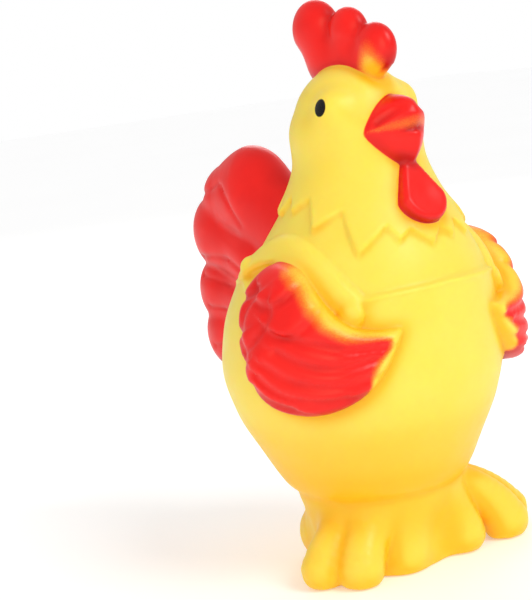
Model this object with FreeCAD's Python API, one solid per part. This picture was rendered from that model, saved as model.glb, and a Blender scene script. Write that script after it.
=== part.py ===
import FreeCAD, Part
import math
import os

# A hollow soft-vinyl squeeze toy: a rubber chicken that stands on its own two feet and
# wears moulded dungarees, with a press-in reed squeaker in its sole.
# Millimetres. +Z is up, the front looks along -Y, and the toy's left side is +X.
# The origin is the middle of the sole, where the toy stands.

Vec = FreeCAD.Vector

# ---- driving dimensions: the skin ----
WALL = 2.0                  # thickness of the moulded vinyl
SOLE_FLOOR = 5.0            # height where the hollow starts
NECK_TOP = 121.0            # the body's outline ends inside the head
CROWN_STEPS = (0.08, 0.4, 0.7, 0.9)       # where the hollow is drawn, as shares of the crown's height

# the body's outline: height, middle in Y, half width in X, half depth in Y; it starts below
# the sole, so that one cut at the origin's height leaves the body and toes one flat face
LEG_TOP = 24.0
BODY_STATIONS = [
    (-2.0, 3.0, 19.8, 20.2),
    (8.0, 3.0, 19.8, 20.2),
    (17.0, 3.0, 20.6, 21.0),
    (LEG_TOP, 3.2, 23.0, 24.0),
    (33.0, 3.6, 28.6, 29.6),
    (45.0, 4.0, 34.8, 35.8),
    (56.0, 4.0, 37.0, 38.0),
    (67.0, 3.0, 35.8, 36.8),
    (78.0, 0.6, 32.4, 33.4),
    (90.0, -2.2, 25.6, 26.4),
    (100.0, -3.4, 19.8, 20.6),
    (110.0, -3.6, 17.0, 17.8),
    (NECK_TOP, -3.4, 15.7, 16.5),
]

HEAD_CENTRE = Vec(0, -3.4, 118.0)
HEAD_RADII = Vec(15.8, 16.6, 14.8)
EYE_CENTRE = Vec(10.9, -8.9, 123.0)      # the left eye's bulge; the right one mirrors it
EYE_RADIUS = 5.0

# ---- driving dimensions: comb, beak and wattle, all on the middle plane ----
COMB_THICKNESS = 9.0
COMB_ROOT = Vec(0, -4.5, 130.0)
COMB_LOBES = [                            # middle in Y and Z, radius in Y, radius in Z
    (7.2, 141.0, 9.2, 9.0),
    (-5.6, 139.5, 6.6, 8.4),
    (-15.6, 135.0, 6.5, 7.8),
]
BEAK_BASE_Y = -17.0
BEAK_UPPER = (119.4, 7.8, 5.0)            # height, half width and half height at the base
BEAK_UPPER_TIP = Vec(0, -29.4, 118.6)
BEAK_LOWER = (111.8, 6.8, 4.6)
BEAK_LOWER_TIP = Vec(0, -28.0, 112.6)
BEAK_TIP_RADIUS = 2.6
WATTLE_TOP = (Vec(0, -21.2, 107.0), 2.4)  # a flat drop that lies on the throat
WATTLE_LOW = (Vec(0, -25.4, 97.6), 7.0)
WATTLE_THICKNESS = 6.0
WATTLE_LEAN = 24.0          # how far the drop leans out with the throat

# ---- driving dimensions: what is moulded on the body's surface ----
CAPE_RISE = 1.5             # the neck feathers end in a zigzag step
CAPE_TIP_RADIUS = 27.5
CAPE_NOTCH_RADIUS = 22.6
CAPE_POINTS = 16
CAPE_LOW = 84.0
CAPE_SPAN = 34.0
CAPE_MIDDLE_Y = -2.0
CAPE_FADE = (98.0, 110.0, -0.4)           # heights over which the cape sinks into the neck
TROUSER_RISE = 0.8
BIB_TOP = 77.5
STRAP_RISE = 1.2
STRAP_WIDTH = 6.0
BUTTON_RADIUS = 2.6
BUTTON_ANGLE = 43.0
BUTTON_CENTRE_Y = 1.6       # the buttons lie on a circle about this point
BUTTON_REACH = 36.0
BUTTON_HEIGHT = 74.0
BUTTON_HALF_THICKNESS = 1.9
BUTTON_TILT = -20.0
WING_RISE = 6.6
WING_ANGLE = 66.0           # how far round the side each wing's middle lies
WING_MIDDLE = 68.0          # height that the wing's outline is drawn about
WING_REACH = 70.0           # how far out from the body's axis a wing's outline is pushed
WING_OUTLINE = [            # along the side (front is +) and up, from the wing's middle
    (24.0, 0.5), (17.0, 4.5), (8.0, 9.0), (0.0, 14.5), (-8.5, 18.5), (-17.0, 17.5),
    (-21.0, 9.0), (-20.0, -2.0), (-15.5, -10.0), (-8.0, -14.0), (2.0, -15.0),
    (13.0, -12.0), (20.5, -6.0),
]
STRAP_ABOVE = 4.0           # the straps show from this far above the wing's middle

# ---- driving dimensions: tail and feet ----
TAIL_THICKNESS = 15.0
TAIL_FEATHERS = [           # root in Y and Z, root radius, tip in Y and Z, tip radius
    (26.0, 76.0, 12.0, 45.5, 100.0, 13.0),
    (28.0, 70.0, 13.0, 58.5, 87.0, 12.0),
    (28.5, 63.0, 13.5, 61.5, 73.0, 11.0),
    (29.0, 57.0, 12.0, 59.5, 59.0, 10.0),
]
TOES = [                    # the left foot: root, root radius, tip, tip radius
    (Vec(15.0, -1.0, 14.0), 8.4, Vec(32.6, -6.4, 4.6), 6.0),
    (Vec(13.0, -7.0, 14.2), 8.6, Vec(24.2, -14.0, 4.7), 6.4),
    (Vec(7.2, -10.0, 14.4), 8.8, Vec(8.9, -13.8, 4.6), 6.2),
]
HEEL = (Vec(9.0, 6.0, 12.0), 10.4, Vec(12.5, 16.5, 6.6), 8.8)

# ---- driving dimensions: the squeaker, on the origin's axis ----
RECESS_RADIUS = 13.5
RECESS_DEPTH = 2.4
FIT_RADIUS = 9.5            # hole in the sole
FIT_SQUEEZE = 0.1           # how much larger the housing is than its hole
FLANGE_RADIUS = 12.5
FLANGE_THICKNESS = 1.4
HOUSING_TOP = 21.0
HOUSING_WALL = 1.0
HOUSING_FLOOR = 2.0
BEAD_HEIGHT = 6.2           # the snap bead sits just above the sole
BEAD_RADIUS = 0.9
OUTLET_RADIUS = 2.5
SEAT_RADIUS = 4.0
SEAT_BOTTOM = 2.0
SEAT_TOP = 18.0
CHANNEL_RADIUS = 2.3
CHANNEL_TOP = 15.6
SLOT = 0.45                 # gap that holds the reed's root
REED_THICKNESS = 0.15
REED_WIDTH = 5.6
REED_ROOT = 1.4             # length of reed inside the clamp
REED_FREE = 12.0
CLAMP_BOTTOM = 4.0
CLAMP_TOP = 7.0             # the reed bends just above this height
LAY_STEP = 0.3              # the seat falls away from the reed above the clamp
LAY_ANGLE = 5.0
CAP_THICKNESS = 1.4
CAP_HOLE_RADIUS = 1.1
CAP_HOLE_CIRCLE = 4.6
CAP_HOLES = 6

UP = Vec(0, 0, 1)


def ellipse_wire(height, middle, half_width, half_depth):
    """A horizontal ellipse, starting on the toy's front-back line."""
    centre = Vec(0, middle, height)
    curve = Part.Ellipse(centre + Vec(0, half_depth, 0), centre + Vec(half_width, 0, 0), centre)
    return Part.Wire([curve.toShape()])


def turned(offset, fade=None):
    """The body as one smooth loft, every section grown by offset, which may fade out upwards."""
    wires = []
    for z, y, rx, ry in BODY_STATIONS:
        grow = offset
        if fade:
            start, end, sunk = fade
            share = min(max((z - start) / (end - start), 0.0), 1.0)
            grow = offset + (sunk - offset) * share
        wires.append(ellipse_wire(z, y, rx + grow, ry + grow))
    return Part.makeLoft(wires, True, False)


def ellipsoid(centre, radii, turn=0.0, tilt=0.0):
    """An ellipsoid, tilted about X and then turned about Z."""
    shape = Part.makeSphere(1.0)
    matrix = FreeCAD.Matrix()
    matrix.scale(radii.x, radii.y, radii.z)
    shape = shape.transformGeometry(matrix)
    shape.rotate(Vec(), Vec(1, 0, 0), tilt)
    shape.rotate(Vec(), UP, turn)
    shape.translate(centre)
    return shape


def round_cone(start, start_radius, end, end_radius):
    """A ball that tapers straight to a second ball, turned as one smooth solid."""
    length = (end - start).Length
    lean = math.asin((start_radius - end_radius) / length)
    touch = Vec(math.cos(lean), 0, math.sin(lean))      # where the taper leaves each ball
    half = Vec(math.cos((lean - math.pi / 2) / 2), 0, math.sin((lean - math.pi / 2) / 2))
    cap = Vec(math.cos((lean + math.pi / 2) / 2), 0, math.sin((lean + math.pi / 2) / 2))
    far = Vec(0, 0, length)
    bottom, top = Vec(0, 0, -start_radius), far + Vec(0, 0, end_radius)
    low, high = touch * start_radius, far + touch * end_radius
    outline = Part.Wire([
        Part.Arc(bottom, half * start_radius, low).toShape(), Part.LineSegment(low, high).toShape(),
        Part.Arc(high, far + cap * end_radius, top).toShape(),
        Part.LineSegment(top, bottom).toShape()])
    shape = Part.Face(outline).revolve(Vec(), UP, 360)
    shape.Placement = FreeCAD.Placement(start, FreeCAD.Rotation(UP, end - start))
    return shape


def fuse(shapes):
    """Join solids one after another."""
    whole = shapes[0]
    for shape in shapes[1:]:
        whole = whole.fuse(shape)
    return whole


def both_sides(shape):
    return [shape, shape.mirror(Vec(), Vec(1, 0, 0))]


def slab(shape, thickness):
    """Keep the part of a shape within thickness about the middle plane."""
    block = Part.makeBox(thickness, 400, 400, Vec(-thickness / 2, -200, -200))
    return shape.common(block)


def prism(points, push):
    """Push a closed smooth outline along a vector."""
    curve = Part.BSplineCurve()
    curve.interpolate(Points=points, PeriodicFlag=True)
    return Part.Face(Part.Wire([curve.toShape()])).extrude(push)


def box_between(low, high):
    return Part.makeBox(high.x - low.x, high.y - low.y, high.z - low.z, low)


def head():
    parts = [ellipsoid(HEAD_CENTRE, HEAD_RADII)]
    parts += both_sides(Part.makeSphere(EYE_RADIUS, EYE_CENTRE))
    return parts


def comb():
    """Three bulbous lobes on one root, flattened on both cheeks."""
    parts = [ellipsoid(COMB_ROOT, Vec(COMB_THICKNESS / 2 - 0.6, 15.5, 8.6))]
    for y, z, ry, rz in COMB_LOBES:
        parts.append(ellipsoid(Vec(0, y, z), Vec(COMB_THICKNESS / 2, ry, rz)))
    return parts


def mandible(base, tip):
    """One half of the beak: an oval root that tapers to a rounded tip."""
    height, half_width, half_height = base
    root = Part.Wire([Part.Ellipse(
        Vec(half_width, BEAK_BASE_Y, height), Vec(0, BEAK_BASE_Y, height + half_height),
        Vec(0, BEAK_BASE_Y, height)).toShape()])
    middle = Vec(0, (BEAK_BASE_Y + tip.y) / 2, height + (tip.z - height) * 0.3)
    waist = Part.Wire([Part.Ellipse(
        middle + Vec(half_width * 0.78, 0, 0), middle + Vec(0, 0, half_height * 0.78),
        middle).toShape()])
    end_centre = Vec(0, tip.y + BEAK_TIP_RADIUS, tip.z)
    end = Part.Wire([Part.Ellipse(
        end_centre + Vec(BEAK_TIP_RADIUS, 0, 0), end_centre + Vec(0, 0, BEAK_TIP_RADIUS * 0.9),
        end_centre).toShape()])
    body = Part.makeLoft([root, waist, end], True, False)
    return [body, Part.makeSphere(BEAK_TIP_RADIUS * 0.95, end_centre)]


def wattle():
    """A drop drawn upright and flattened front to back, then leaned out with the throat."""
    (top, top_radius), (low, low_radius) = WATTLE_TOP, WATTLE_LOW
    run = (low - top).Length
    drop = round_cone(Vec(0, 0, -run), low_radius, Vec(), top_radius)
    half = WATTLE_THICKNESS / 2
    drop = drop.common(box_between(Vec(-20, -half, -40), Vec(20, half, 20)))
    drop.rotate(Vec(), Vec(1, 0, 0), -WATTLE_LEAN)
    drop.translate(top)
    return [drop]


def cape():
    """Neck feathers: a raised skin that ends where it meets an upright star."""
    points = []
    for i in range(2 * CAPE_POINTS):
        angle = math.pi * i / CAPE_POINTS
        radius = CAPE_TIP_RADIUS if i % 2 == 0 else CAPE_NOTCH_RADIUS
        points.append(Vec(
            radius * math.sin(angle), CAPE_MIDDLE_Y - radius * math.cos(angle), CAPE_LOW))
    star = Part.Face(Part.makePolygon(points + [points[0]])).extrude(UP * CAPE_SPAN)
    return [turned(CAPE_RISE, CAPE_FADE).common(star)]


def trousers():
    low = Vec(-60, -60, LEG_TOP)
    return [turned(TROUSER_RISE).common(box_between(low, Vec(60, 60, BIB_TOP)))]


def wing_prism(grow):
    """The wing's outline, grown, pushed out from the plane through the body's axis."""
    a = math.radians(WING_ANGLE)
    facing = Vec(math.sin(a), -math.cos(a), 0)
    forward = Vec(-math.cos(a), -math.sin(a), 0)
    points = []
    for along, up in WING_OUTLINE:
        stretch = 1 + grow / math.hypot(along, up)
        points.append(forward * along * stretch + UP * (WING_MIDDLE + up * stretch))
    return prism(points, facing * WING_REACH)


def wings(inset=0.0):
    """Both wings, or with an inset the hollows behind them."""
    return both_sides(turned(WING_RISE - inset).common(wing_prism(-inset)))


def straps():
    """Each strap runs over the shoulder along its wing's upper edge, down to the bib."""
    band = wing_prism(STRAP_WIDTH)
    upper = box_between(Vec(-60, -60, WING_MIDDLE + STRAP_ABOVE), Vec(60, 60, 110))
    return both_sides(turned(STRAP_RISE).common(band).common(upper))


def buttons():
    """A round button at the foot of each strap."""
    a = math.radians(BUTTON_ANGLE)
    centre = Vec(
        BUTTON_REACH * math.sin(a), BUTTON_CENTRE_Y - BUTTON_REACH * math.cos(a), BUTTON_HEIGHT)
    radii = Vec(BUTTON_RADIUS, BUTTON_HALF_THICKNESS, BUTTON_RADIUS)
    return both_sides(ellipsoid(centre, radii, BUTTON_ANGLE, BUTTON_TILT))


def tail(inset=0.0):
    """A fan of stout feathers on the middle plane, or with an inset the hollows inside them."""
    parts = []
    for root_y, root_z, root_radius, tip_y, tip_z, tip_radius in TAIL_FEATHERS:
        feather = round_cone(
            Vec(0, root_y, root_z), root_radius - inset, Vec(0, tip_y, tip_z), tip_radius - inset)
        parts.append(slab(feather, TAIL_THICKNESS - 2 * inset))
    return parts


def feet():
    """Two feet of three stout toes and a heel."""
    parts = []
    for root, root_radius, tip, tip_radius in TOES + [HEEL]:
        parts += both_sides(round_cone(root, root_radius, tip, tip_radius))
    return parts


def hollow():
    """What the skin is moulded around, from just above the sole to inside the crown."""
    stations = [(SOLE_FLOOR,) + BODY_STATIONS[1][1:]]
    stations += [s for s in BODY_STATIONS if SOLE_FLOOR < s[0] < HEAD_CENTRE.z]
    wires = [ellipse_wire(z, y, rx - WALL, ry - WALL) for z, y, rx, ry in stations]
    inside = HEAD_RADII - Vec(WALL, WALL, WALL)
    for share in CROWN_STEPS:
        shrink = math.sqrt(1 - share * share)
        wires.append(ellipse_wire(
            HEAD_CENTRE.z + inside.z * share, HEAD_CENTRE.y, inside.x * shrink, inside.y * shrink))
    return Part.makeLoft(wires, True, False)


def body_shell():
    """The whole moulding: everything outside fused, then hollowed and opened for the squeaker."""
    shell = fuse(
        [turned(0.0)] + head() + comb() + mandible(BEAK_UPPER, BEAK_UPPER_TIP)
        + mandible(BEAK_LOWER, BEAK_LOWER_TIP) + wattle() + feet() + tail() + trousers()
        + cape() + straps() + wings() + buttons())
    below_sole = box_between(Vec(-100, -100, -50), Vec(100, 100, 0))
    recess = Part.makeCylinder(RECESS_RADIUS, RECESS_DEPTH)
    hole = Part.makeCylinder(FIT_RADIUS, SOLE_FLOOR + 1.0)
    for away in [below_sole, hollow()] + tail(WALL) + wings(WALL) + [recess, hole]:
        shell = shell.cut(away)
    return shell


def squeaker_housing():
    """A flanged sleeve with a floor and an outlet, pressed into the sole."""
    flange_bottom = RECESS_DEPTH - FLANGE_THICKNESS
    outside = FIT_RADIUS + FIT_SQUEEZE
    flange = Part.makeCylinder(FLANGE_RADIUS, FLANGE_THICKNESS, Vec(0, 0, flange_bottom))
    flange = flange.makeFillet(0.5, flange.Edges[:1])
    sleeve = Part.makeCylinder(outside, HOUSING_TOP - flange_bottom, Vec(0, 0, flange_bottom))
    bead = Part.makeTorus(outside, BEAD_RADIUS, Vec(0, 0, BEAD_HEIGHT))
    bore = Part.makeCylinder(
        outside - HOUSING_WALL, HOUSING_TOP, Vec(0, 0, flange_bottom + HOUSING_FLOOR))
    outlet = Part.makeCylinder(OUTLET_RADIUS, 10.0)
    return fuse([flange, sleeve, bead]).cut(bore).cut(outlet)


def reed_seat():
    """Half of a round plug, with a half-round channel that the reed beats over."""
    bottom = RECESS_DEPTH - FLANGE_THICKNESS + HOUSING_FLOOR
    plug = Part.makeCylinder(SEAT_RADIUS, SEAT_TOP - bottom, Vec(0, 0, bottom))
    half = plug.common(box_between(Vec(-9, SLOT / 2, 0), Vec(9, 9, 40)))
    foot = Part.makeCylinder(SEAT_RADIUS, CLAMP_BOTTOM - bottom, Vec(0, 0, bottom))
    channel = Part.makeCylinder(CHANNEL_RADIUS, CHANNEL_TOP, Vec(0, SLOT / 2, 0))
    rise = SEAT_TOP + 1.0 - CLAMP_TOP
    fall = SLOT / 2 + LAY_STEP
    lay = Part.Face(Part.makePolygon([
        Vec(-9, 0, CLAMP_TOP), Vec(-9, fall, CLAMP_TOP),
        Vec(-9, fall + rise * math.tan(math.radians(LAY_ANGLE)), CLAMP_TOP + rise),
        Vec(-9, 0, CLAMP_TOP + rise), Vec(-9, 0, CLAMP_TOP)])).extrude(Vec(18, 0, 0))
    return fuse([half, foot]).cut(channel).cut(lay)


def reed_wedge():
    """The other half of the plug, short, which clamps the reed's root."""
    plug = Part.makeCylinder(SEAT_RADIUS, CLAMP_TOP - CLAMP_BOTTOM, Vec(0, 0, CLAMP_BOTTOM))
    half = plug.common(box_between(Vec(-9, -9, 0), Vec(9, -SLOT / 2, 40)))
    ramp = box_between(Vec(-9, -9, CLAMP_TOP - 1.0), Vec(9, -SEAT_RADIUS + 0.8, 40))
    return half.cut(ramp)


def reed():
    """A thin springy tongue with rounded free corners."""
    low = Vec(-REED_WIDTH / 2, -REED_THICKNESS / 2, CLAMP_TOP - REED_ROOT)
    high = Vec(REED_WIDTH / 2, REED_THICKNESS / 2, CLAMP_TOP + REED_FREE)
    strip = box_between(low, high)
    corners = [
        e for e in strip.Edges
        if e.Length < 1.0 and e.CenterOfMass.z > CLAMP_TOP and abs(e.CenterOfMass.y) < 1e-6]
    return strip.makeFillet(1.2, corners)


def squeaker_cap():
    """A perforated lid that keeps the reed from being crushed."""
    inside = FIT_RADIUS + FIT_SQUEEZE - HOUSING_WALL
    bottom = HOUSING_TOP - CAP_THICKNESS
    lid = Part.makeCylinder(inside, CAP_THICKNESS, Vec(0, 0, bottom))
    rim = Part.makeCylinder(inside + HOUSING_WALL, 0.8, Vec(0, 0, HOUSING_TOP))
    holes = [Part.makeCylinder(CAP_HOLE_RADIUS, 9.0, Vec(0, 0, bottom - 1))]
    for i in range(CAP_HOLES):
        a = 2 * math.pi * i / CAP_HOLES
        centre = Vec(CAP_HOLE_CIRCLE * math.cos(a), CAP_HOLE_CIRCLE * math.sin(a), bottom - 1)
        holes.append(Part.makeCylinder(CAP_HOLE_RADIUS, 9.0, centre))
    lid = fuse([lid, rim])
    for hole in holes:
        lid = lid.cut(hole)
    return lid


NODES = {
    "body_shell": body_shell,
    "squeaker_housing": squeaker_housing,
    "squeaker_cap": squeaker_cap,
    "reed_seat": reed_seat,
    "reed_wedge": reed_wedge,
    "reed": reed,
}

os.makedirs("parts", exist_ok=True)
for node, make in NODES.items():
    shape = make()
    shape.exportStep("parts/" + node + ".step")
    box = shape.BoundBox
    print(node, len(shape.Solids), "solid", shape.isValid(), round(shape.Volume, 1), "mm3",
          [round(v, 1) for v in (box.XMin, box.YMin, box.ZMin, box.XMax, box.YMax, box.ZMax)])
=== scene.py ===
import math

import bpy
import numpy as np
from mathutils import Matrix, Vector


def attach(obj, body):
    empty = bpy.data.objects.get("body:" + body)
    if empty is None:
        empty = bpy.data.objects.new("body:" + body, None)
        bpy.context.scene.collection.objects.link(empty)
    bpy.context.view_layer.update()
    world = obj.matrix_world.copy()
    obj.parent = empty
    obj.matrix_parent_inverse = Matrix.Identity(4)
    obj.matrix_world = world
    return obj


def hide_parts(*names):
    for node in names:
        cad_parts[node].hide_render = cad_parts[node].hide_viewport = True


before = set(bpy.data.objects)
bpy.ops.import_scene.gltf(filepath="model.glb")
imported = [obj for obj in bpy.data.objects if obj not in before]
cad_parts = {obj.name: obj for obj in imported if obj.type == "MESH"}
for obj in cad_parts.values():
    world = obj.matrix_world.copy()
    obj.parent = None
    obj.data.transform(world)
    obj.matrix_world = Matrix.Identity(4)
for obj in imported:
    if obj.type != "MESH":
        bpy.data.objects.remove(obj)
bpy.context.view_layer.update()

# A hollow vinyl chicken squeeze toy. Its skin is one moulding, so it is drawn here as one
# distance field in millimetres, meshed once, and painted by values kept on its vertices.
# The frame is the CAD model's: +Z up, the face looks along -Y, the origin is the sole's middle.

MM = 0.001
VOXEL = 0.8       # mesh size of the skin, mm
SKIN_BOX = ((-47, -38, -3), (47, 80, 154))
SHELTER_REACH = (2.5, 7.0)  # how far out the skin looks for a neighbour that shades it

# ---- the trunk: height, middle in Y, half width in X, half depth in Y ----
TRUNK = np.array([
    (0.0, 3.0, 19.8, 18.2),
    (8.0, 3.0, 19.8, 18.2),
    (16.0, 3.0, 20.8, 20.6),
    (21.0, 3.2, 22.2, 22.8),
    (24.0, 3.2, 24.6, 25.2),
    (33.0, 3.6, 29.4, 30.2),
    (45.0, 4.0, 34.8, 35.8),
    (56.0, 4.0, 37.0, 38.0),
    (67.0, 3.0, 35.8, 36.8),
    (78.0, 0.6, 32.4, 33.4),
    (90.0, -2.2, 25.6, 26.4),
    (100.0, -3.4, 19.8, 20.6),
    (110.0, -3.8, 16.6, 17.4),
    (120.0, -3.4, 15.8, 16.6),
    (130.0, -3.4, 15.8, 16.6),
])
TRUNK_TOP = 119.0
LEG_CREASE = (21.3, 0.5, 1.6)       # height, depth and width of the groove above the feet
ARC = 33.0                  # mm of arc per radian, where an outline is drawn round the trunk
HEAD = ((0.0, -3.4, 118.0), (15.4, 16.2, 15.8))
EYE_BULGE = ((10.9, -8.9, 122.5), 5.0)

# ---- comb, on the middle plane: its base, then each lobe's top and foot in Y, Z and radius ----
COMB_BASE = ((0.0, -3.2, 133.6), (3.7, 14.6, 7.4))
COMB_LOBES = [
    (7.4, 143.0, 7.9, 3.0, 133.4, 5.8),
    (-5.3, 141.5, 6.4, -3.4, 135.0, 4.5),
    (-15.0, 136.7, 6.5, -12.0, 133.6, 4.8),
]
COMB_HALF_THICKNESS = 0.62  # of a lobe's radius
COMB_BARE = ((-15.6, 132.8), (4.4, 7.0))    # where its red thins out: middle and spread in Y, Z

# ---- beak: root on the face, half width, reach and height of each half ----
BEAK_ROOT = -17.5
MOUTH = 115.6
BEAK_UPPER = (9.9, 10.7, 9.2)
BEAK_LOWER = (9.9, 10.2, 10.8)
BEAK_TUCK = 0.2             # how much shorter the upper half is above the mouth
BEAK_CREASE = ((8.2, -18.6, 116.8), (2.6, -26.8, 122.8))    # the groove on each side
BEAK_CREASE_DEPTH = 1.1
BEAK_CORE = (6.8, 7.6, 3.0) # fills the gap between the halves behind the lips

# ---- wattle: its top and radius, its lower end and radius, and its half thickness ----
WATTLE = ((0.0, -20.6, 107.4), 2.0, (0.0, -25.7, 98.3), 6.8, 2.6)

# ---- neck feathers: bearing from the front and height of each point of the zigzag, each half ----
NECK_RISE = 1.25            # how far their edge stands proud of the chest
NECK_FADE = 7.0             # how fast that rise fades upwards
ZIGZAG_RIGHT = [
    (0, 88.6), (3, 86.9), (15, 91.4), (22, 89.0), (28, 93.1), (44, 86.7), (55, 97.9), (74, 93.4),
    (83, 101.2), (99, 97.6), (106, 101.5), (117, 96.4), (130, 101.4), (143, 96.0), (156, 101.5),
    (168, 96.2), (180, 100.5),
]
ZIGZAG_LEFT = [
    (0, 88.6), (5, 90.7), (13, 87.6), (20, 91.6), (29, 87.2), (41, 94.4), (53, 88.6), (68, 98.4),
    (84, 93.8), (98, 101.2), (110, 97.0), (124, 101.2), (138, 96.2), (152, 101.4), (166, 96.0),
    (180, 100.5),
]

# ---- dungarees: bearings and heights, the same on both sides ----
BIB = [
    (0, 78.6), (30, 77.8), (45, 77.0), (60, 75.6), (75, 75.0), (90, 76.6), (105, 80.4),
    (120, 82.6), (138, 80.0), (180, 76.0),
]
STRAP = [
    (46, 75.6), (54, 79.8), (63, 83.6), (74, 87.0), (86, 88.8), (98, 89.0), (110, 87.6),
    (121, 84.0),
]
BIB_RISE = 0.9
BIB_FADE = 22.0             # how fast the cloth sinks back into the belly
HEM = (0.7, 0.5, 0.75)      # the hem's drop below the edge, its rise and its half width
STRAP_HALF_WIDTH = 4.0
STRAP_RISE = 2.0
STRAP_KNOB = (118.0, 84.2, 3.0)
BUTTON = (45.2, 73.2, 3.1)

# ---- wing: outline, feather lines ----
WING_RISE = (2.8, 5.0)      # at its front end, and how much more where it is thickest
FEATHER_STEP = (0.55, 2.6)  # height of each lap and how far it reaches
FEATHER_GROOVE = (0.8, 1.25)        # depth and half width of the groove at each lap
WING_ROUNDING = 3.6
WING = [
    (97.4, 80.8), (94, 84.6), (88, 86.6), (79, 86.4), (70, 84.6), (62.5, 81.0), (57, 77.4),
    (51.5, 74.0), (46, 71.4), (40, 69.6), (33, 68.8), (25, 69.0), (26, 65.4), (29, 61.6), (34, 57.2),
    (42, 52.8), (52, 50.0), (62, 49.2), (72, 50.6), (79, 54.0), (84.0, 58.6), (86.0, 61.8),
    (89.6, 64.4), (91.6, 67.4), (92.2, 69.4), (94.4, 71.6), (95.8, 74.6), (96.0, 77.0), (97.2, 78.8),
]
# each line is the lower or rear edge of a feather that laps over the next
FEATHER_LINES = [
    [(86.4, 81.6), (83.0, 78.8), (77.6, 77.4), (72.0, 78.2), (68.0, 80.4), (66.0, 83.0)],
    [(75.6, 72.6), (71.6, 70.8), (67.0, 70.0), (62.6, 71.0), (59.2, 73.2), (57.0, 76.0)],
    [(66.0, 70.2), (61.4, 69.0), (56.6, 68.3), (50.1, 67.0), (41.7, 65.8), (31.7, 65.4)],
    [(69.5, 66.6), (63.3, 64.3), (58.4, 63.0), (52.2, 62.0), (45.9, 62.0), (37.0, 62.8)],
    [(74.5, 63.4), (67.5, 60.4), (61.1, 58.6), (54.7, 57.6), (46.4, 57.2), (38.0, 58.6)],
    [(77.0, 60.4), (69.9, 56.6), (62.0, 54.6), (54.0, 53.8), (46.0, 54.4)],
    [(80.0, 57.6), (73.0, 54.0), (65.0, 52.0)],
    [(84.0, 79.6), (88.4, 76.4), (88.8, 72.0), (87.0, 68.2), (83.6, 65.4)],
    [(75.0, 77.6), (74.4, 74.6), (76.0, 71.6), (80.0, 68.0), (84.0, 65.6)],
    [(88.0, 79.6), (93.0, 78.4), (98.0, 77.4)],
    [(87.6, 70.6), (91.0, 69.6), (94.0, 69.4)],
    [(83.0, 63.6), (86.0, 62.6), (89.0, 61.8)],
]
# what the red spray covers on a wing; it fades over the upper front edge
RED_WING = [
    (104, 84), (98, 88.0), (91.7, 88.6), (84.2, 88.6), (77.1, 87.8), (68.6, 85.0), (61.3, 80.8),
    (56.1, 76.4), (51.2, 72.8), (44.9, 70.2), (37.8, 68.2), (31.0, 66.6), (31.0, 65.0), (34.7, 62.0),
    (39.1, 58.0), (42, 54), (50, 50), (75, 50), (90, 58), (104, 70),
]

# ---- tail: a fan of feathers, each through points (Y, Z, radius), and its half thickness ----
TAIL = [
    ([(24, 68, 10.0), (32, 91, 11.6), (42.5, 98.8, 13.1), (54.4, 97.8, 10.2)], 7.0),
    ([(26, 64, 10.0), (42, 81, 10.5), (58.8, 88.4, 12.4)], 7.8),
    ([(28, 58, 10.0), (46, 68, 10.0), (61.5, 71, 11.0)], 6.4),
    ([(28, 54, 9.0), (46, 57, 9.6), (61, 58, 10.8)], 6.0),
]
TAIL_GROOVES = [            # along the feathers, in Y and Z
    [(34, 62), (48, 66), (64, 67)], [(34, 66), (48, 72.5), (66, 76)],
    [(34, 56), (48, 57.5), (64, 55)],
    [(38, 76), (50, 82), (64, 82)], [(40, 92), (48, 103), (55, 102), (64, 99.6)],
]

# ---- feet: each toe from root to tip, with radii ----
TOES = [
    ((14.0, -1.0, 17.2, 5.0), (30.6, -4.6, 4.4, 5.9)),
    ((12.2, -7.0, 17.8, 5.2), (24.0, -12.0, 4.4, 6.4)),
    ((6.2, -9.6, 17.0, 5.2), (9.8, -12.4, 4.4, 5.9)),
]
TOE_WRINKLES = (2.4, 0.05)  # spacing and height
TOE_ARCH = 2.2              # how far a toe's back rises above a straight taper
HEEL = ((9.0, 6.0, 12.0, 9.6), (12.5, 16.5, 6.4, 8.8))
FEET_SHIFT = 4.4            # the feet sit a little to the toy's left and turned
FEET_TURN = -4.5
FEET_SPLAY = 1.08           # how much wider the left foot is spread

# ---- the squeaker's place in the sole ----
RECESS = (13.5, 2.4)        # radius and depth
SQUEAKER_HOLE = 9.5         # radius
SQUEAKER_SPACE = (11.5, 5.2, 24.0)  # radius, floor and ceiling


# ======== distance functions ========

def length(v):
    return np.sqrt((v * v).sum(-1))


def join(a, b, k):
    """Smooth union."""
    h = np.maximum(k - np.abs(a - b), 0) / k
    return np.minimum(a, b) - h * h * k / 4


def meet(a, b, k):
    """Smooth intersection."""
    return -join(-a, -b, k)


def ramp(x, low, high):
    t = np.clip((x - low) / (high - low), 0, 1)
    return t * t * (3 - 2 * t)


def ellipsoid(p, centre, radii):
    q = p - np.array(centre)
    r = np.array(radii, float)
    k0 = length(q / r)
    k1 = length(q / (r * r))
    return k0 * (k0 - 1) / np.maximum(k1, 1e-6)


def cone(p, a, b, ra, rb):
    """A rounded cone from a to b."""
    a, b = np.array(a, float), np.array(b, float)
    d = b - a
    t = np.clip(((p - a) @ d) / (d @ d), 0, 1)
    return length(p - a - t[:, None] * d) - (ra + (rb - ra) * t)


def inside_outline(u, v, points):
    """Signed distance to a closed outline, negative inside."""
    d = np.full(u.shape, 1e9)
    s = np.ones(u.shape)
    for i in range(len(points)):
        a, b = points[i], points[i - 1]
        e = b - a
        wx, wy = u - a[0], v - a[1]
        t = np.clip((wx * e[0] + wy * e[1]) / (e @ e), 0, 1)
        dx, dy = wx - e[0] * t, wy - e[1] * t
        d = np.minimum(d, dx * dx + dy * dy)
        up, down, left = v >= a[1], v < b[1], e[0] * wy > e[1] * wx
        s = np.where((up & down & left) | (~up & ~down & ~left), -s, s)
    return s * np.sqrt(d)


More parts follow.
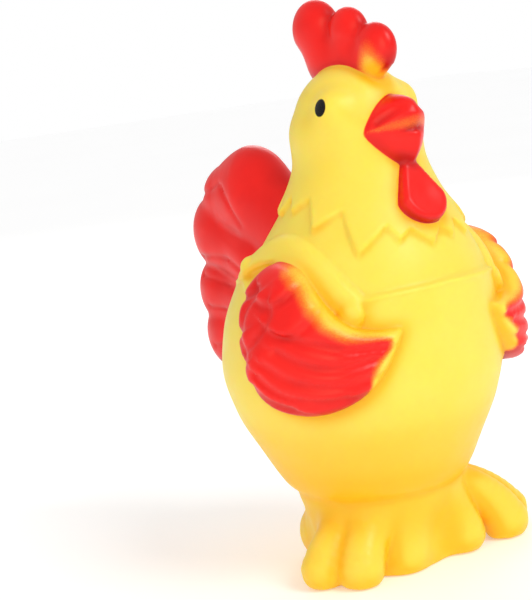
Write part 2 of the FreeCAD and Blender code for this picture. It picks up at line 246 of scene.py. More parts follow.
def line_distance(u, v, points, sided=False):
    """Distance to an open line; with sides, positive on the right of its direction."""
    d = np.full(u.shape, 1e9)
    side = np.ones(u.shape)
    for a, b in zip(points[:-1], points[1:]):
        e = b - a
        wx, wy = u - a[0], v - a[1]
        t = np.clip((wx * e[0] + wy * e[1]) / (e @ e), 0, 1)
        here = np.hypot(wx - e[0] * t, wy - e[1] * t)
        if sided:
            side = np.where(here < d, np.where(e[0] * wy > e[1] * wx, -1, 1), side)
        d = np.minimum(d, here)
    return d * side


def smooth_points(points, closed, steps=5):
    """Catmull-Rom points through given ones."""
    p = np.array(points, float)
    n = len(p)
    out = []
    for i in range(n if closed else n - 1):
        k = [i - 1, i, i + 1, i + 2]
        p0, p1, p2, p3 = [p[j % n] if closed else p[min(max(j, 0), n - 1)] for j in k]
        for t in np.linspace(0, 1, steps, endpoint=False):
            out.append(0.5 * (2 * p1 + (p2 - p0) * t + (2 * p0 - 5 * p1 + 4 * p2 - p3) * t * t
                              + (3 * p1 - p0 - 3 * p2 + p3) * t ** 3))
    if not closed:
        out.append(p[-1])
    return np.array(out)


def unrolled(points):
    """Bearings in degrees become millimetres of arc."""
    p = np.array(points, float)
    return np.stack([np.radians(p[:, 0]) * ARC, p[:, 1]], 1)


# ======== the trunk ========

def monotone(x, y, xi):
    """Monotone cubic through the stations."""
    h = np.diff(x)
    d = np.diff(y) / h
    m = np.zeros(len(x))
    for i in range(1, len(x) - 1):
        if d[i - 1] * d[i] > 0:
            w1, w2 = 2 * h[i] + h[i - 1], h[i] + 2 * h[i - 1]
            m[i] = (w1 + w2) / (w1 / d[i - 1] + w2 / d[i])
    k = np.clip(np.searchsorted(x, xi) - 1, 0, len(h) - 1)
    t = (xi - x[k]) / h[k]
    return (y[k] * (1 + 2 * t) * (1 - t) ** 2 + h[k] * m[k] * t * (1 - t) ** 2
            + y[k + 1] * t * t * (3 - 2 * t) + h[k] * m[k + 1] * t * t * (t - 1))


HEIGHTS = np.arange(-6.0, 140.0, 0.25)


def station_tables():
    inside = np.clip(HEIGHTS, 0, 130)
    kernel = np.hanning(19)
    kernel /= kernel.sum()
    tables = []
    for i in (1, 2, 3):
        v = monotone(TRUNK[:, 0], TRUNK[:, i], inside)
        tables.append(np.convolve(np.pad(v, 9, "edge"), kernel, "valid"))
    return tables, [np.gradient(t, HEIGHTS) for t in tables]


TABLES, SLOPES = station_tables()


def trunk(p):
    """Distance to the bare trunk, and the trunk's middle in Y at each point's height."""
    x, y, z = p.T
    yc, rx, ry = [np.interp(z, HEIGHTS, t) for t in TABLES]
    dyc, drx, dry = [np.interp(z, HEIGHTS, t) for t in SLOPES]
    yy = y - yc
    k = np.maximum(np.sqrt((x / rx) ** 2 + (yy / ry) ** 2), 1e-3)
    gx, gy = x / rx ** 2 / k, yy / ry ** 2 / k
    gz = (-x * x * drx / rx ** 3 - yy * dyc / ry ** 2 - yy * yy * dry / ry ** 3) / k
    return (k - 1) / np.sqrt(gx * gx + gy * gy + gz * gz + 1e-9), yc


# ======== relief moulded on the trunk ========

ZIGZAG = unrolled([(-b, z) for b, z in reversed(ZIGZAG_RIGHT)] + ZIGZAG_LEFT[1:])
BIB_LINE = unrolled(smooth_points(BIB, False))
STRAP_LINE = unrolled(smooth_points(STRAP, False))
WING_EDGE = unrolled(smooth_points(WING, True, 3))
WING_FEATHERS = [unrolled(smooth_points(line, False, 3)) for line in FEATHER_LINES]
WING_SPRAY = unrolled(RED_WING)


def cape(arc, z):
    """The neck feathers stand proud of the chest and fade upwards."""
    edge = np.interp(arc, ZIGZAG[:, 0], ZIGZAG[:, 1])
    d = line_distance(arc, z, ZIGZAG) * np.where(z > edge, 1, -1)
    middle = 90.5 + 8.0 * ramp(np.abs(arc), 12, 50)
    fade = np.exp(-np.maximum(z - middle, 0) / NECK_FADE)
    return NECK_RISE * ramp(d, -0.7, 1.0) * fade


def dungarees(arc, z):
    """The cloth's step and hem, with a strap's rounded band over them."""
    edge = np.interp(arc, BIB_LINE[:, 0], BIB_LINE[:, 1])
    below = edge - z
    cloth = BIB_RISE * ramp(below, -0.3, 0.8) * np.exp(-np.maximum(below, 0) / BIB_FADE)
    hem_drop, hem_rise, hem_width = HEM
    hem = hem_rise * np.exp(-((below - hem_drop) / hem_width) ** 2)
    t = np.clip(line_distance(arc, z, STRAP_LINE) / STRAP_HALF_WIDTH, 0, 1)
    return np.maximum(cloth + hem, STRAP_RISE * (1 - t ** 5) ** 1.5)


def wing(base, arc, z):
    """Distance to a wing: a puffy slab round the trunk, each feather lapping over the next."""
    edge = inside_outline(arc, z, WING_EDGE)
    swell = ramp(arc, 13, 30) * (1 - 0.45 * ramp(arc, 42, 56))
    swell = swell * (1 - 0.25 * ramp(np.abs(z - 67), 10, 20))
    rise = WING_RISE[0] + WING_RISE[1] * swell
    groove = np.zeros(len(arc))
    for line in WING_FEATHERS:
        d = line_distance(arc, z, line, True)
        away = np.abs(d)
        step = FEATHER_STEP[0] * np.exp(-away / FEATHER_STEP[1]) * ramp(away, 0, 1.0)
        rise = rise + np.sign(d) * step
        groove = np.maximum(groove, np.exp(-(away / FEATHER_GROOVE[1]) ** 2))
    return meet(base - rise + FEATHER_GROOVE[0] * groove, edge, WING_ROUNDING)


# ======== the other lumps; m is the point with X made positive ========

def head(p, m):
    d = ellipsoid(p, *HEAD)
    centre, radius = EYE_BULGE
    return join(d, length(m - np.array(centre)) - radius, 2.7)


def comb(p):
    q = p.copy()
    q[:, 0] /= COMB_HALF_THICKNESS
    d = ellipsoid(p, *COMB_BASE)
    lobes = None
    for y, z, r, foot_y, foot_z, foot_r in COMB_LOBES:
        one = cone(q, (0, y, z), (0, foot_y, foot_z), r, foot_r) * COMB_HALF_THICKNESS
        lobes = one if lobes is None else join(lobes, one, 1.4)
    return join(d, lobes, 2.4)


def beak_half(x, y, z, size, side_power, front_power):
    """Half a beak: pointed in plan and in front view, rounder from the side."""
    a, b, c = size
    y = np.maximum(y, 0) / b
    z = np.maximum(z, 0) / c
    side = (y ** side_power + z ** side_power + 1e-9) ** (1 / side_power)
    k = (side ** front_power + (np.abs(x) / a + 1e-6) ** front_power) ** (1 / front_power)
    return (k - 1) * 8.0


def beak(p, m):
    """Two halves that close on the mouth line, with bevelled lips."""
    x, y, z = p.T
    tuck = 1 - BEAK_TUCK * (1 - ramp(z, MOUTH - 0.5, MOUTH + 4.5))
    upper = beak_half(x, (BEAK_ROOT - y) / tuck, z - MOUTH, BEAK_UPPER, 2.9, 1.5)
    a, b = np.array(BEAK_CREASE[0]), np.array(BEAK_CREASE[1])
    d = b - a
    t = np.clip(((m - a) @ d) / (d @ d), 0, 1)
    crease = length(m - a - t[:, None] * d)
    depth = BEAK_CREASE_DEPTH * (1 - 0.5 * t) * ramp(t, 0, 0.25)
    upper = upper + depth * np.exp(-(crease / 1.2) ** 2)
    bevel = 0.3 + 1.5 * np.clip(1 - np.abs(x) / 9.0, 0, 1)
    upper = meet(upper, MOUTH - 0.25 - z, bevel)
    lower = beak_half(x, BEAK_ROOT - y, MOUTH - z, BEAK_LOWER, 2.0, 1.25)
    lower = meet(lower, z - MOUTH - 0.25, bevel)
    core = ellipsoid(p, (0, BEAK_ROOT, MOUTH), BEAK_CORE)
    both = np.minimum(np.minimum(upper, lower), core)
    return meet(both, y + 12.0, 1.0)


def wattle(p):
    """A flattened drop with a hollow in its lower part."""
    top, top_r, low, low_r, half = WATTLE
    axis = np.array(low) - np.array(top)
    axis /= np.linalg.norm(axis)
    normal = np.array([0.0, axis[2], -axis[1]])
    q = p - np.array(top)
    flat = np.stack([q[:, 0], q @ axis, np.zeros(len(q))], 1)
    run = float(np.linalg.norm(np.array(low) - np.array(top)))
    drop = cone(flat, (0, 0, 0), (0, run, 0), top_r, low_r)
    hollow = 0.8 * np.exp(-(length(flat - np.array([0.0, run, 0.0])) / 4.2) ** 2)
    return meet(drop, np.abs(q @ normal) - half + hollow, 1.8)


def tail(p):
    """Overlapping flat lobes, with grooves along the feathers."""
    whole = None
    for points, half in TAIL:
        one = None
        for (y0, z0, r0), (y1, z1, r1) in zip(points[:-1], points[1:]):
            q = p.copy()
            q[:, 0] *= r1 / half
            part = cone(q, (0, y0, z0), (0, y1, z1), r0, r1) * half / r1
            one = part if one is None else join(one, part, 4.0)
        whole = one if whole is None else join(whole, one, 0.9)
    for line in TAIL_GROOVES:
        away = line_distance(p[:, 1], p[:, 2], smooth_points(line, False, 3))
        whole = whole + 0.7 * np.exp(-away / 0.9) * ramp(p[:, 1], 34, 44)
    return whole


def feet(p):
    """Toes and heels, each an arched rounded cone."""
    turn = math.radians(FEET_TURN)
    x, y = p[:, 0] - FEET_SHIFT, p[:, 1]
    across = x * math.cos(turn) + y * math.sin(turn)
    across = np.where(across > 0, across / FEET_SPLAY, -across)
    m = np.stack([across, y * math.cos(turn) - x * math.sin(turn), p[:, 2]], 1)
    whole = None
    for root, tip in TOES + [HEEL]:
        a, b = np.array(root[:3]), np.array(tip[:3])
        d = b - a
        t = np.clip(((m - a) @ d) / (d @ d), 0, 1)
        arch = TOE_ARCH * 4 * t * (1 - t)
        q = m - a - t[:, None] * d
        q[:, 2] -= arch
        one = length(q) - (root[3] + (tip[3] - root[3]) * t)
        along = ((m - a) @ d) / np.sqrt(d @ d)
        wave = np.cos(along * 2 * np.pi / TOE_WRINKLES[0])
        one = one - TOE_WRINKLES[1] * wave * ramp(t, 0.2, 0.5)
        whole = one if whole is None else join(whole, one, 1.4)
    return whole


def on_trunk(bearing, z, out):
    """A point out from the trunk at a bearing from the front."""
    a = math.radians(bearing)
    yc, rx, ry = [float(np.interp(z, HEIGHTS, t)) for t in TABLES]
    return np.array([(rx + out) * math.sin(a), yc - (ry + out) * math.cos(a), z])


def button(m):
    """The button at a strap's front end and the knob at its rear end."""
    bearing, z, r = BUTTON
    a = math.radians(bearing)
    q = m - on_trunk(bearing, z, 0.9)
    out = np.array([math.sin(a), -math.cos(a), 0.25])
    out /= np.linalg.norm(out)
    n = q @ out
    flat = length(q - n[:, None] * out)
    knob = length(m - on_trunk(STRAP_KNOB[0], STRAP_KNOB[1], 0.4)) - STRAP_KNOB[2]
    return np.minimum(meet(flat - r, np.abs(n) - 1.9, 1.8), knob)


def squeaker_space(p):
    """What is cut out of the sole for the squeaker: a recess, a hole and a room behind it."""
    r = np.hypot(p[:, 0], p[:, 1])
    z = p[:, 2]
    recess = np.maximum(r - RECESS[0], z - RECESS[1])
    hole = np.maximum(r - SQUEAKER_HOLE, z - SQUEAKER_SPACE[1] - 1)
    room_r, room_low, room_high = SQUEAKER_SPACE
    room = np.maximum(r - room_r, np.maximum(room_low - z, z - room_high))
    return np.minimum(np.minimum(recess, hole), room)


def parts(p):
    """Distances to the separate lumps, for meshing and for painting."""
    x, y, z = p.T
    m = np.stack([np.abs(x), y, z], 1)
    base, yc = trunk(p)
    signed_arc = np.arctan2(x, yc - y) * ARC
    arc = np.abs(signed_arc)
    body = base - cape(signed_arc, z) - dungarees(arc, z) * ramp(z, 30, 50)
    crease_z, crease_depth, crease_width = LEG_CREASE
    body = body + crease_depth * np.exp(-((z - crease_z) / crease_width) ** 2)
    body = meet(body, z - TRUNK_TOP, 5.0)
    body = join(body, head(p, m), 5.0)
    return {
        "body": body, "wing": wing(base, arc, z), "comb": comb(p), "beak": beak(p, m),
        "wattle": wattle(p), "tail": tail(p), "feet": feet(p), "button": button(m), "arc": arc,
    }


def skin_field(p):
    d = parts(p)
    whole = join(d["body"], d["button"], 0.8)
    whole = join(whole, d["wing"], 0.7)
    whole = join(whole, d["tail"], 1.6)
    whole = join(whole, d["feet"], 4.4)
    whole = join(whole, d["comb"], 1.0)
    whole = join(whole, d["beak"], 0.7)
    whole = join(whole, d["wattle"], 0.7)
    whole = meet(whole, -p[:, 2], 0.8)
    return np.maximum(whole, -squeaker_space(p))


# ======== meshing ========

def in_batches(f, p, size=300000):
    out = np.empty(len(p))
    for i in range(0, len(p), size):
        out[i:i + size] = f(p[i:i + size])
    return out


def sampled(f, low, high, h, coarse=4):
    """The field on a grid, exact near the surface and interpolated elsewhere."""
    low, high = np.array(low, float), np.array(high, float)
    n = np.ceil((high - low) / (h * coarse)).astype(int) * coarse + 1
    axes = [low[i] + h * np.arange(n[i]) for i in range(3)]
    corners = np.stack(np.meshgrid(*[a[::coarse] for a in axes], indexing="ij"), -1)
    grid = in_batches(f, corners.reshape(-1, 3)).reshape(corners.shape[:3])
    for k in range(3):
        grid = np.moveaxis(grid, k, 0)
        w = (np.arange(coarse) / coarse)[:, None]
        flat = grid.reshape(grid.shape[0], -1)
        fine = (flat[:-1, None] * (1 - w)[None] + flat[1:, None] * w[None]).reshape(-1, flat.shape[1])
        fine = np.concatenate([fine, flat[-1:]], 0)
        grid = np.moveaxis(fine.reshape((-1,) + grid.shape[1:]), 0, k)
    near = np.argwhere(np.abs(grid) < h * coarse * 1.6)
    grid[tuple(near.T)] = in_batches(f, low + near * h)
    return grid, low


def surface_nets(grid, low, h):
    """One vertex in each cell that the surface crosses, one quad for each crossed edge."""
    inside = grid < 0
    nx, ny, nz = grid.shape
    count = np.zeros((nx - 1, ny - 1, nz - 1), np.int8)
    for dx in (0, 1):
        for dy in (0, 1):
            for dz in (0, 1):
                count += inside[dx:nx - 1 + dx, dy:ny - 1 + dy, dz:nz - 1 + dz]
    active = (count > 0) & (count < 8)
    cells = np.argwhere(active)
    ids = -np.ones(active.shape, int)
    ids[active] = np.arange(len(cells))
    total = np.zeros((len(cells), 3))
    hits = np.zeros(len(cells))
    for axis in range(3):
        others = [a for a in range(3) if a != axis]
        for o1 in (0, 1):
            for o2 in (0, 1):
                a = cells.copy()
                a[:, others[0]] += o1
                a[:, others[1]] += o2
                b = a.copy()
                b[:, axis] += 1
                va, vb = grid[tuple(a.T)], grid[tuple(b.T)]
                crossed = (va < 0) != (vb < 0)
                point = a.astype(float)
                point[:, axis] += np.where(crossed, va / np.where(crossed, va - vb, 1), 0)
                total[crossed] += point[crossed]
                hits[crossed] += 1
    vertices = low + h * total / hits[:, None]
    quads = []
    for axis in range(3):
        others = [a for a in range(3) if a != axis]
        first, second = [slice(None)] * 3, [slice(None)] * 3
        first[axis], second[axis] = slice(0, -1), slice(1, None)
        for k in others:
            first[k] = second[k] = slice(1, -1)
        a, b = inside[tuple(first)], inside[tuple(second)]
        edges = np.argwhere(a != b)
        outward = a[tuple(edges.T)]
        for k in others:
            edges[:, k] += 1
        quad = []
        for d1, d2 in ((0, 0), (1, 0), (1, 1), (0, 1)):
            c = edges.copy()
            c[:, others[0]] -= 1 - d1
            c[:, others[1]] -= 1 - d2
            quad.append(ids[tuple(c.T)])
        quad = np.stack(quad, 1)
        keep = outward if axis != 1 else ~outward
        quads.append(np.where(keep[:, None], quad, quad[:, ::-1]))
    return vertices, np.concatenate(quads)


def slope(f, v, eps=0.06):
    steps = np.eye(3) * eps
    return np.stack([(in_batches(f, v + s) - in_batches(f, v - s)) / (2 * eps) for s in steps], -1)


def neighbour_mean(v, quads):
    """Each vertex's mean over the vertices it shares a quad's edge with."""
    total, hits = np.zeros_like(v), np.zeros(len(v))
    for i in range(4):
        a, b = quads[:, i], quads[:, (i + 1) % 4]
        for s, t in ((a, b), (b, a)):
            hits += np.bincount(s, minlength=len(v))
            for k in range(v.shape[1]):
                total[:, k] += np.bincount(s, v[t, k], len(v))
    return total / hits[:, None]


def settle(f, v, quads):
    """Even out the mesh along the surface and bring it back onto the surface."""
    for relax in (0.0, 0.5, 0.35, 0.0):
        if relax:
            g = slope(f, v)
            n = g / np.maximum(length(g), 1e-6)[:, None]
            move = (neighbour_mean(v, quads) - v) * relax
            v = v + move - (move * n).sum(1)[:, None] * n
        d = in_batches(f, v)
        g = slope(f, v)
        step = -(d / np.maximum((g * g).sum(1), 0.08))[:, None] * g
        far = np.maximum(length(step)[:, None] / (VOXEL * 0.6), 1)
        v = v + step / far
    return v


# ======== paint, kept on the vertices ========

def paint(p):
    """How much red was sprayed at a point: 0 is bare yellow vinyl, 1 is solid red."""
    d = parts(p)
    x, y, z = p.T
    (bare_y, bare_z), (spread_y, spread_z) = COMB_BARE
    bare = np.exp(-((y - bare_y) / spread_y) ** 2 - ((z - bare_z) / spread_z) ** 2)
    bare = bare * np.maximum(ramp(np.abs(x), 0.3, 2.0), ramp(-z, -133.5, -129.5))
    on_comb = (1 - (0.92 - 0.34 * ramp(z, 130, 137)) * bare) * (z > 122)
    upper = ramp(z - 60 - (d["arc"] - 36) * 0.35, 0.0, 8.0) * (0.3 + 0.7 * ramp(d["arc"], 17, 28))
    spray = 1.3 - 0.4 * upper - inside_outline(d["arc"], z, WING_SPRAY)
    soft = 0.9 + 5.4 * upper * (1 - 0.4 * ramp(d["arc"], 40, 50))
    on_wing = ramp(spray, -0.9, soft) * (z < 95) * (z > 45) * (y < 30)
    lip = (z - MOUTH) / np.maximum(1.0 + 0.45 * (-18.0 - y), 1.0)
    lip = np.exp(-((lip - 0.45) / 0.45) ** 2)
    on_face = (1 - 0.42 * lip) * (y < -15) * (z > 88) * (z < 128)
    return np.clip(np.maximum.reduce([on_comb, on_wing, on_face, (y > 20) * 1.0]), 0, 1)


def painted_parts(p):
    """How far a point lies inside the painted lumps, in mm: the spray stops at their edges."""
    d = parts(p)
    names = ("comb", "wing", "beak", "wattle", "tail")
    return np.clip(np.maximum.reduce([d["body"] - d[name] for name in names]), -1.5, 1.5)


def blurred(values, quads, rounds):
    """Values on the vertices, evened out with their neighbours'."""
    values = values[:, None]
    for _ in range(rounds):
        values = 0.5 * values + 0.5 * neighbour_mean(values, quads)
    return values[:, 0]


def hollowness(v, quads, normals):
    """Positive in creases, negative on edges."""
    bend = ((neighbour_mean(v, quads) - v) * normals).sum(1) / VOXEL ** 2
    return blurred(bend, quads, 10)


def mesh_object(name, vertices, faces):
    mesh = bpy.data.meshes.new(name)
    mesh.from_pydata((vertices * MM).tolist(), [], faces.tolist())
    mesh.validate()
    for polygon in mesh.polygons:
        polygon.use_smooth = True
    obj = bpy.data.objects.new(name, mesh)
    bpy.context.scene.collection.objects.link(obj)
    return obj


def vertex_values(obj, name, values):
    layer = obj.data.attributes.new(name, "FLOAT", "POINT")
    layer.data.foreach_set("value", np.asarray(values, np.float32))


def build_skin():
    grid, low = sampled(skin_field, *SKIN_BOX, VOXEL)
    v, quads = surface_nets(grid, low, VOXEL)
    v = settle(skin_field, v, quads)
    g = slope(skin_field, v)
    normals = g / np.maximum(length(g), 1e-6)[:, None]
    skin = mesh_object("vinyl_skin", v, quads)
    vertex_values(skin, "paint", in_batches(paint, v))
    vertex_values(skin, "lump", in_batches(painted_parts, v))
    vertex_values(skin, "hollow", hollowness(v, quads, normals))
    # painted shade: how shut in each point is, how far its face turns down and how low it sits give
    # the amount of shade painted into the colour
    shut_in = [1 - in_batches(skin_field, v + normals * h) / h for h in SHELTER_REACH]
    turned_down_shade = 0.3 * ramp(-normals[:, 2], -0.1, 0.7) + 0.25 * ramp(-v[:, 2], -50, -12)
    shade_amount = np.clip(sum(shut_in) / len(shut_in) + turned_down_shade, 0, 1)
    vertex_values(skin, "shade_amount", blurred(shade_amount, quads, 6))
    print("skin", len(v), "vertices", len(quads), "quads")
    return skin


# ======== materials ========

class Nodes:
    """A short way to write a node tree."""

    def __init__(self, name):
        self.material = bpy.data.materials.new(name)
        self.material.use_nodes = True
        self.tree = self.material.node_tree
        self.shader = self.tree.nodes["Principled BSDF"]

    def add(self, kind, inputs=None, **settings):
        node = self.tree.nodes.new(kind)
        for key, value in settings.items():
            setattr(node, key, value)
        for key, value in (inputs or {}).items():
            self.put(node.inputs[key], value)
        return node

    def put(self, socket, value):
        if isinstance(value, bpy.types.NodeSocket):
            self.tree.links.new(value, socket)
        else:
            socket.default_value = value

    def math(self, operation, a, b=0.0, c=0.0, clamp=False):
        node = self.add("ShaderNodeMath", {0: a, 1: b, 2: c}, operation=operation, use_clamp=clamp)
        return node.outputs[0]

    def turned(self, a, b, angle):
        """a along a direction turned by angle from it towards b."""
        first = self.math("MULTIPLY", a, math.cos(angle))
        return self.math("ADD", first, self.math("MULTIPLY", b, math.sin(angle)))

    def mix(self, factor, a, b):
        node = self.add("ShaderNodeMix", data_type="RGBA")
        self.put(node.inputs[0], factor)
        self.put(node.inputs[6], a)
        self.put(node.inputs[7], b)
        return node.outputs[2]

    def range(self, value, low, high, to_low=0.0, to_high=1.0, kind="SMOOTHSTEP"):
        node = self.add(
            "ShaderNodeMapRange", {0: value, 1: low, 2: high, 3: to_low, 4: to_high},
            interpolation_type=kind)
        return node.outputs[0]

    def noise(self, scale, detail=3.0, roughness=0.5, vector=None):
        node = self.add(
            "ShaderNodeTexNoise", {"Scale": scale, "Detail": detail, "Roughness": roughness})
        if vector is not None:
            self.put(node.inputs["Vector"], vector)
        return node.outputs["Fac"]


def srgb(code):
    """A colour written as six hex digits, in linear light."""
    values = [int(code[i:i + 2], 16) / 255 for i in (0, 2, 4)]
    linear = [v / 12.92 if v <= 0.04045 else ((v + 0.055) / 1.055) ** 2.4 for v in values]
    return (*linear, 1.0)


PUPIL = ((14.9, -8.9, 123.6), (1.8, 2.2), 10.0)      # middle, half width and half height, tilt


def vinyl_material():
    n = Nodes("soft_vinyl")
    where = n.add("ShaderNodeTexCoord").outputs["Object"]
    amount = n.add("ShaderNodeAttribute", attribute_name="paint").outputs["Fac"]
    lump = n.add("ShaderNodeAttribute", attribute_name="lump").outputs["Fac"]
    amount = n.math("MULTIPLY", amount, n.range(lump, -0.2, 0.35))
    hollow = n.add("ShaderNodeAttribute", attribute_name="hollow").outputs["Fac"]
    shade_amount = n.add("ShaderNodeAttribute", attribute_name="shade_amount").outputs["Fac"]
    speckle = n.noise(3600.0, 2.0, 0.6, where)
    cloud = n.noise(90.0, 3.0, 0.5, where)
    # airbrushed paint breaks up into droplets where it is thin
    thin = n.math("MULTIPLY", amount, n.math("SUBTRACT", 1.0, amount))
    grain = n.math("MULTIPLY", n.math("SUBTRACT", speckle, 0.5), n.math("MULTIPLY", thin, 1.6))
    patch = n.math("MULTIPLY", n.math("SUBTRACT", cloud, 0.5), n.math("MULTIPLY", thin, 1.2))
    cover = n.math("ADD", amount, n.math("ADD", grain, patch), clamp=True)
    # painted shade: bare vinyl is painted a deeper orange in creases and where it is shut in, turned
    # down or low on the toy
    crease_shade = n.range(hollow, 0.025, 0.24)
    shelter_shade = n.range(shade_amount, 0.08, 0.5)
    mottle = n.range(cloud, 0.3, 0.7, 0.0, 1.0)
    yellow = n.mix(mottle, srgb("FFE15C"), srgb("FFDE54"))
    yellow = n.mix(shelter_shade, yellow, srgb("FFC420"))
    yellow = n.mix(n.math("MULTIPLY", crease_shade, 0.8), yellow, srgb("FBB012"))
    red = n.mix(mottle, srgb("F61A12"), srgb("EC140E"))
    # painted shade: the red is painted darker where it is shut in and in creases
    red = n.mix(n.range(shade_amount, 0.1, 0.7), red, srgb("C40A08"))
    red = n.mix(n.math("MULTIPLY", crease_shade, 0.6), red, srgb("AC0608"))
    # painted highlight: the red is painted lighter along convex edges
    edge_highlight = n.range(hollow, -0.35, -0.1, 1.0, 0.0)
    red = n.mix(n.math("MULTIPLY", edge_highlight, 0.3), red, srgb("FF3A2C"))
    low = n.mix(n.range(cover, 0.1, 0.5), yellow, srgb("FF8C20"))
    colour = n.mix(n.range(cover, 0.3, 0.8), low, red)
    # a pupil is a dab of black gloss on each eye bulge
    pupil = pupil_mask(n, where)
    colour = n.mix(pupil, colour, srgb("100D0B"))
    n.put(n.shader.inputs["Base Color"], colour)
    rough = n.range(n.noise(240.0, 4.0, 0.6, where), 0.3, 0.7, 0.36, 0.46)
    rough = n.math("ADD", rough, n.math("MULTIPLY", cover, -0.06))
    rough = n.math("MULTIPLY", rough, n.math("SUBTRACT", 1.0, n.math("MULTIPLY", pupil, 0.7)))
    n.put(n.shader.inputs["Roughness"], rough)
    n.put(n.shader.inputs["Subsurface Weight"], 0.65)
    n.put(n.shader.inputs["Subsurface Radius"], (1.0, 0.45, 0.12))
    n.put(n.shader.inputs["Subsurface Scale"], 0.005)
    n.put(n.shader.inputs["Specular IOR Level"], 0.34)
    peel = n.noise(900.0, 3.0, 0.55, where)
    bump = n.add("ShaderNodeBump", {"Strength": 0.06, "Distance": 0.0002, "Height": peel})
    n.put(n.shader.inputs["Normal"], bump.outputs[0])
    return n.material


def pupil_mask(n, where):
    """1 inside a tilted oval on each side of the head."""
    centre, (half_width, half_height), tilt = PUPIL
    t = math.radians(tilt)
    mirrored = n.add("ShaderNodeVectorMath", {0: where}, operation="ABSOLUTE").outputs[0]
    split = n.add("ShaderNodeSeparateXYZ", {0: where})
    side = n.add("ShaderNodeSeparateXYZ", {0: mirrored}).outputs[0]
    dx = n.math("SUBTRACT", side, centre[0] * MM)
    dy = n.math("SUBTRACT", split.outputs[1], centre[1] * MM)
    dz = n.math("SUBTRACT", split.outputs[2], centre[2] * MM)
    a = math.atan2(centre[0], HEAD[0][1] - centre[1])
    across = n.turned(dx, dy, a)
    u = n.math("MULTIPLY", n.turned(across, dz, t), 1 / (half_width * MM))
    v = n.math("MULTIPLY", n.turned(dz, across, -t), 1 / (half_height * MM))
    r = n.math("SQRT", n.math("ADD", n.math("MULTIPLY", u, u), n.math("MULTIPLY", v, v)))
    disc = n.range(r, 0.93, 1.06, 1.0, 0.0)
    # the oval runs right through the toy, so it is kept to the eyes' height and side
    high = n.range(split.outputs[2], 115 * MM, 116 * MM)
    near = n.range(n.math("ABSOLUTE", dx), 6.0 * MM, 6.2 * MM, 1.0, 0.0)
    return n.math("MULTIPLY", disc, n.math("MULTIPLY", high, near))


def plastic_material():
    n = Nodes("squeaker_plastic")
    where = n.add("ShaderNodeTexCoord").outputs["Object"]
    cloud = n.noise(220.0, 3.0, 0.5, where)
    colour = n.mix(n.range(cloud, 0.3, 0.7), srgb("EDEBE1"), srgb("E2DFD2"))
    n.put(n.shader.inputs["Base Color"], colour)
    wear = n.noise(600.0, 3.0, 0.6, where)
    n.put(n.shader.inputs["Roughness"], n.range(wear, 0.3, 0.7, 0.42, 0.55))
    n.put(n.shader.inputs["Subsurface Weight"], 0.1)
    n.put(n.shader.inputs["Subsurface Scale"], 0.001)
    bump = n.add("ShaderNodeBump", {"Strength": 0.05, "Distance": 0.0001,
                                    "Height": n.noise(2200.0, 2.0, 0.5, where)})
    n.put(n.shader.inputs["Normal"], bump.outputs[0])
    return n.material


def brass_material():
    n = Nodes("reed_brass")
    where = n.add("ShaderNodeTexCoord").outputs["Object"]
    stretch = n.add("ShaderNodeMapping", {0: where})
    stretch.inputs["Scale"].default_value = (9000.0, 9000.0, 300.0)
    lines = n.noise(1.0, 3.0, 0.6, stretch.outputs[0])
    colour = n.mix(n.range(lines, 0.3, 0.7), srgb("D9B45E"), srgb("C39A44"))
    n.put(n.shader.inputs["Base Color"], colour)
    n.put(n.shader.inputs["Metallic"], 1.0)
    n.put(n.shader.inputs["Roughness"], n.range(lines, 0.3, 0.7, 0.24, 0.38))
    return n.material


def give(obj, material):
    obj.data.materials.clear()
    obj.data.materials.append(material)


# ======== studio ========

SKY_LIGHT = 0.56
FLOOR_GLOW = 0.26           # keeps the pale floor even out to the horizon


def floor():
    size = 3.0
    corners = [Vector((x * size, y * size, -0.0002)) for x, y in ((-1, -1), (1, -1), (1, 1), (-1, 1))]
    mesh = bpy.data.meshes.new("floor")
    mesh.from_pydata(corners, [], [(0, 1, 2, 3)])
    obj = bpy.data.objects.new("floor", mesh)
    bpy.context.scene.collection.objects.link(obj)
    n = Nodes("pale_floor")
    where = n.add("ShaderNodeTexCoord").outputs["Object"]
    cloud = n.noise(6.0, 2.0, 0.5, where)
    n.put(n.shader.inputs["Base Color"], n.mix(cloud, srgb("F4F4F4"), srgb("F0F0F0")))
    n.put(n.shader.inputs["Roughness"], 0.7)
    n.put(n.shader.inputs["Emission Color"], (1.0, 1.0, 1.0, 1.0))
    n.put(n.shader.inputs["Emission Strength"], FLOOR_GLOW)
    give(obj, n.material)


def aim(obj, place, target):
    obj.location = place
    obj.rotation_mode = "QUATERNION"
    obj.rotation_quaternion = (Vector(target) - Vector(place)).to_track_quat("-Z", "Y")
    bpy.context.scene.collection.objects.link(obj)


def area_light(name, place, target, size, power, colour):
    data = bpy.data.lights.new(name, "AREA")
    data.shape = "DISK"
    data.size = size
    data.energy = power
    data.color = colour
    aim(bpy.data.objects.new(name, data), place, target)


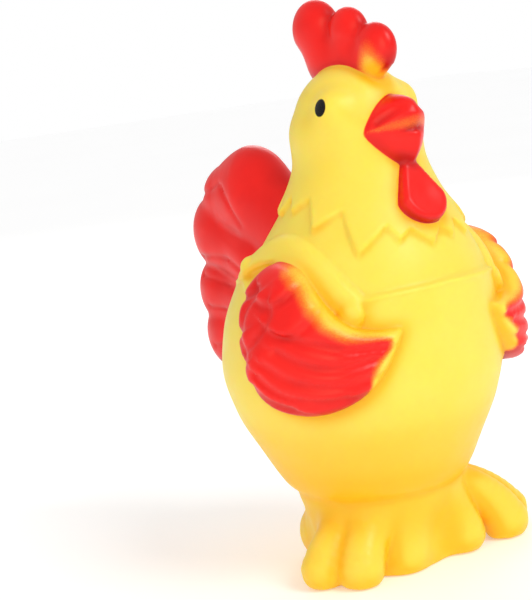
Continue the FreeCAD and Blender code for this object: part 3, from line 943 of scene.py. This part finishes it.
def studio():
    world = bpy.data.worlds.new("studio")
    world.use_nodes = True
    tree = world.node_tree
    background = tree.nodes["Background"]
    background.inputs[0].default_value = (1.0, 1.0, 1.0, 1.0)
    # the backdrop looks white to the camera and lights the toy more gently
    ray = tree.nodes.new("ShaderNodeLightPath")
    strength = tree.nodes.new("ShaderNodeMapRange")
    strength.inputs["To Min"].default_value = SKY_LIGHT
    tree.links.new(ray.outputs["Is Camera Ray"], strength.inputs["Value"])
    tree.links.new(strength.outputs[0], background.inputs[1])
    bpy.context.scene.world = world
    middle = (0.0, 0.0, 0.075)
    key = bpy.data.lights.new("key", "SUN")
    key.angle = math.radians(28)
    key.energy = 1.25
    aim(bpy.data.objects.new("key", key), (0.12, -0.62, 0.66), middle)
    area_light("fill", (-0.62, -0.42, 0.32), middle, 0.5, 1.3, (1.0, 0.84, 0.56))
    area_light("back", (0.5, 0.55, 0.5), middle, 0.5, 1.2, (1.0, 1.0, 1.0))
    bpy.context.scene.view_settings.view_transform = "Standard"


def camera():
    """Looks at the toy's right front, a little from above, leaning the toy back in the picture."""
    yaw, elevation, roll = math.radians(-37.0), math.radians(9.0), math.radians(7.0)
    target = Vector((-20.9, 15.8, 74.3)) * MM
    distance = 0.420
    back = Vector((
        math.sin(yaw) * math.cos(elevation), -math.cos(yaw) * math.cos(elevation),
        math.sin(elevation)))
    right = Vector((0, 0, 1)).cross(back).normalized()
    up = back.cross(right)
    leaned_right = right * math.cos(roll) - up * math.sin(roll)
    leaned_up = right * math.sin(roll) + up * math.cos(roll)
    data = bpy.data.cameras.new("photo_view")
    data.sensor_width = 36.0
    data.lens = 94.8
    data.clip_start, data.clip_end = 0.01, 20.0
    obj = bpy.data.objects.new("photo_view", data)
    turn = Matrix((leaned_right, leaned_up, back)).transposed().to_4x4()
    obj.matrix_world = Matrix.Translation(target + back * distance) @ turn
    bpy.context.scene.collection.objects.link(obj)
    bpy.context.scene.camera = obj


camera()
studio()
floor()
skin = build_skin()
give(skin, vinyl_material())
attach(skin, "root")
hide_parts("body_shell")

plastic = plastic_material()
for node in ("squeaker_housing", "squeaker_cap", "reed_seat", "reed_wedge"):
    give(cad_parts[node], plastic)
give(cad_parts["reed"], brass_material())
